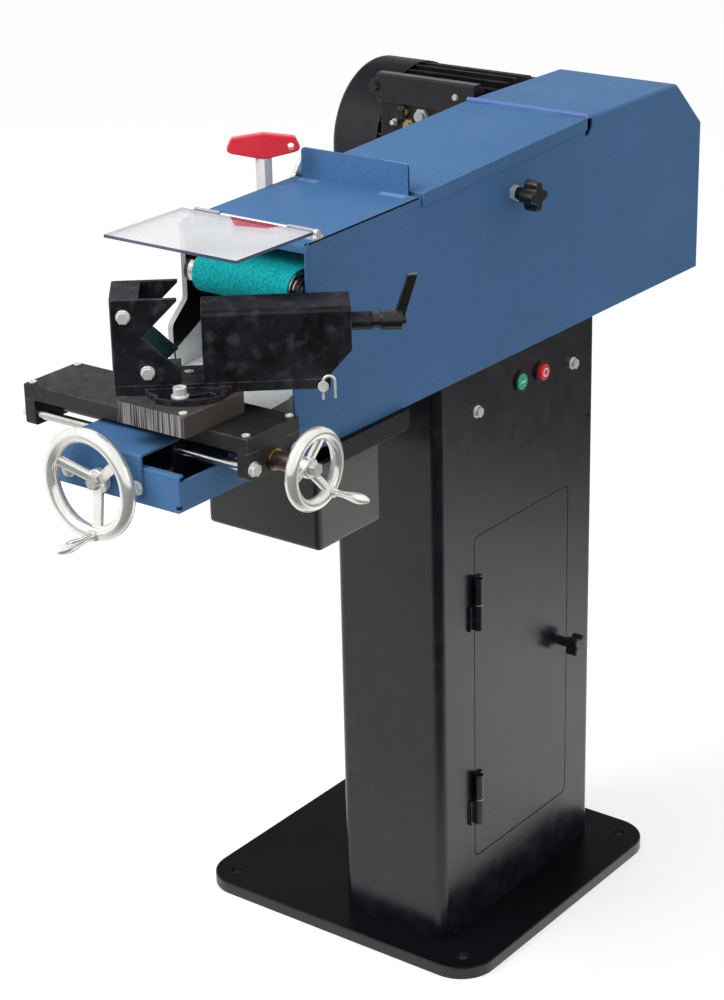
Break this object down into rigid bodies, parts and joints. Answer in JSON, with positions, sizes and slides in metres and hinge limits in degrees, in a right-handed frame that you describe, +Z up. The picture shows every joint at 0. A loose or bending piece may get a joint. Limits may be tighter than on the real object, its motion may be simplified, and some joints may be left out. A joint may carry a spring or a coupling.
{
  "type": "abrasive pipe notcher",
  "caption": "Floor-standing abrasive belt pipe notcher: motor-driven belt head on a column, with a swivelling pipe vise on a handwheel-fed two-way slide.",
  "frame": {"origin": "centre of the base plate's underside, on the floor", "axes": "+Z up, the operator and the notching vise at -Y, the motor at -X, the column door and tracking knob at +X"},
  "size_m": [0.6754, 1.316, 1.2053],
  "materials": {
    "painted_black": "semi-gloss black powder coat",
    "painted_blue": "blue textured powder coat",
    "motor_paint": "satin black paint",
    "motor_core": "laminated steel",
    "raw_steel": "saw-cut steel",
    "bright_steel": "ground steel",
    "zinc": "zinc plated",
    "galvanised": "bright galvanised sheet",
    "polished_wheel": "polished",
    "cast_aluminium": "cast",
    "aluminium_strip": "satin",
    "rubber_tyre": "ground rubber",
    "abrasive_cloth": "teal abrasive cloth",
    "bronze": "turned bronze",
    "black_plastic": "moulded black",
    "red_plastic": "moulded red",
    "green_plastic": "moulded green",
    "clear_plastic": "clear sheet"
  },
  "bodies": {
    "stand": {"base_plate": "painted_black", "column": "painted_black", "switch_block": "black_plastic", "head_frame": "painted_black", "head_cover": "painted_blue", "lid_hinge_pin": "zinc", "front_lid": "painted_blue", "shield_strip": "aluminium_strip", "abrasive_belt": "abrasive_cloth", "platen": "bright_steel", "motor_housing": "motor_paint", "motor_end_shields": "motor_paint", "motor_bearings": "bright_steel", "motor_stator": "motor_core", "fan_cowl": "motor_paint", "terminal_box": "motor_paint", "terminal_lid": "motor_paint", "terminal_glands": "zinc", "frame_bolts": "zinc", "key_holder": "zinc", "spark_chute": "galvanised", "feed_tray": "painted_blue", "feed_saddle": "painted_blue", "feed_rods": "bright_steel"},
    "door": {"column_door": "painted_black"},
    "latch": {"door_knob": "black_plastic"},
    "start": {"start_button": "green_plastic"},
    "stop": {"stop_button": "red_plastic"},
    "lid": {"rear_lid": "painted_blue"},
    "guard": {"shield": "clear_plastic"},
    "drive": {"drive_wheel": "cast_aluminium", "drive_tyre": "rubber_tyre", "motor_shaft": "bright_steel", "motor_fan": "black_plastic"},
    "fork": {"roller_fork": "painted_black", "roller_axle": "bright_steel", "roller_bearings": "bright_steel"},
    "roller": {"contact_roller": "bright_steel"},
    "tension": {"tension_lever": "zinc"},
    "tracking": {"tracking_knob": "black_plastic"},
    "hex_key": {"hex_key_grip": "red_plastic", "hex_key_shaft": "bright_steel"},
    "drawer": {"spark_box": "painted_black"},
    "carriage": {"feed_carriage": "painted_black", "feed_nuts": "bronze"},
    "front_wheel": {"feed_screw": "bright_steel", "front_handwheel": "polished_wheel"},
    "table": {"cross_table": "painted_black", "table_end_blocks": "painted_black", "cross_rods": "bright_steel", "cross_bush": "bronze", "table_fasteners": "zinc", "swivel_block": "raw_steel"},
    "right_wheel": {"cross_screw": "bright_steel", "right_handwheel": "polished_wheel"},
    "turntable": {"swivel_plate": "painted_black", "fixed_jaw": "painted_black", "jaw_pin": "zinc"},
    "jaw": {"moving_jaw": "painted_black"},
    "clamp": {"clamp_lever": "black_plastic"}
  },
  "joints": [
    {"name": "door_hinge", "type": "hinge", "parent": "stand", "child": "door", "pos_m": [0.174, -0.11975, 0.374], "axis": [0, 0, -1], "range_deg": [0, 110]},
    {"name": "latch_turn", "type": "hinge", "parent": "door", "child": "latch", "pos_m": [0.167, 0.109, 0.38], "axis": [-1, 0, 0], "range_deg": [0, 90]},
    {"name": "start_press", "type": "slide", "parent": "stand", "child": "start", "axis": [-1, 0, 0], "range_m": [0, 0.004], "stiffness_N_per_m": 400},
    {"name": "stop_press", "type": "slide", "parent": "stand", "child": "stop", "axis": [-1, 0, 0], "range_m": [0, 0.004], "stiffness_N_per_m": 400},
    {"name": "lid_hinge", "type": "hinge", "parent": "stand", "child": "lid", "pos_m": [0.0775, 0.16, 1.1617], "axis": [-1, 0, 0], "range_deg": [0, 100]},
    {"name": "shield_hinge", "type": "hinge", "parent": "stand", "child": "guard", "pos_m": [0.0775, -0.447, 1.14011], "axis": [-1, 0, 0], "range_deg": [0, 95]},
    {"name": "drive_spin", "type": "hinge", "parent": "stand", "child": "drive", "pos_m": [0.078, 0.315, 1.048], "axis": [1, 0, 0], "continuous": true},
    {"name": "fork_slide", "type": "slide", "parent": "stand", "child": "fork", "axis": [0, 1, 0], "range_m": [0, 0.01]},
    {"name": "roller_spin", "type": "hinge", "parent": "fork", "child": "roller", "pos_m": [0.078, -0.47, 1.072], "axis": [1, 0, 0], "continuous": true},
    {"name": "tension_turn", "type": "hinge", "parent": "stand", "child": "tension", "pos_m": [-0.033, -0.262, 1.096], "axis": [1, 0, 0], "range_deg": [0, 21]},
    {"name": "tracking_turn", "type": "hinge", "parent": "stand", "child": "tracking", "pos_m": [0.167, -0.024, 1.095], "axis": [1, 0, 0], "range_deg": [-180, 180]},
    {"name": "hex_key_lift", "type": "slide", "parent": "stand", "child": "hex_key", "axis": [0, 0, 1], "range_m": [0, 0.08]},
    {"name": "spark_box_slide", "type": "slide", "parent": "stand", "child": "drawer", "axis": [0, -1, 0], "range_m": [0, 0.1]},
    {"name": "feed_wheel_turn", "type": "hinge", "parent": "stand", "child": "front_wheel", "pos_m": [0.069, -0.768, 0.899], "axis": [0, 1, 0], "range_deg": [-2592, 1440]},
    {"name": "feed_slide", "type": "slide", "parent": "stand", "child": "carriage", "axis": [0, 1, 0], "range_m": [-0.036, 0.02]},
    {"name": "cross_slide", "type": "slide", "parent": "carriage", "child": "table", "axis": [1, 0, 0], "range_m": [-0.02, 0.06]},
    {"name": "cross_wheel_turn", "type": "hinge", "parent": "table", "child": "right_wheel", "pos_m": [0.304, -0.641, 0.928], "axis": [1, 0, 0], "range_deg": [-1440, 4320]},
    {"name": "vise_swivel", "type": "hinge", "parent": "table", "child": "turntable", "pos_m": [0.1287, -0.6526, 0.9933], "axis": [0, 0, 1], "range_deg": [-40, 5]},
    {"name": "jaw_slide", "type": "slide", "parent": "turntable", "child": "jaw", "axis": [0.766, 0.6428, 0], "range_m": [-0.026, 0.02]},
    {"name": "clamp_turn", "type": "hinge", "parent": "jaw", "child": "clamp", "pos_m": [0.26241, -0.51325, 1.0643], "axis": [0.766, 0.6428, 0], "range_deg": [-2340, 1800]}
  ],
  "couplings": [
    {"joint": "roller_spin", "follows": "drive_spin", "ratio": 4.3103},
    {"joint": "tension_turn", "follows": "fork_slide", "rad_per_m": 35.714},
    {"joint": "feed_slide", "follows": "feed_wheel_turn", "m_per_rad": 0.00079577},
    {"joint": "cross_slide", "follows": "cross_wheel_turn", "m_per_rad": 0.00079577},
    {"joint": "clamp_turn", "follows": "jaw_slide", "rad_per_m": 1570.8}
  ]
}
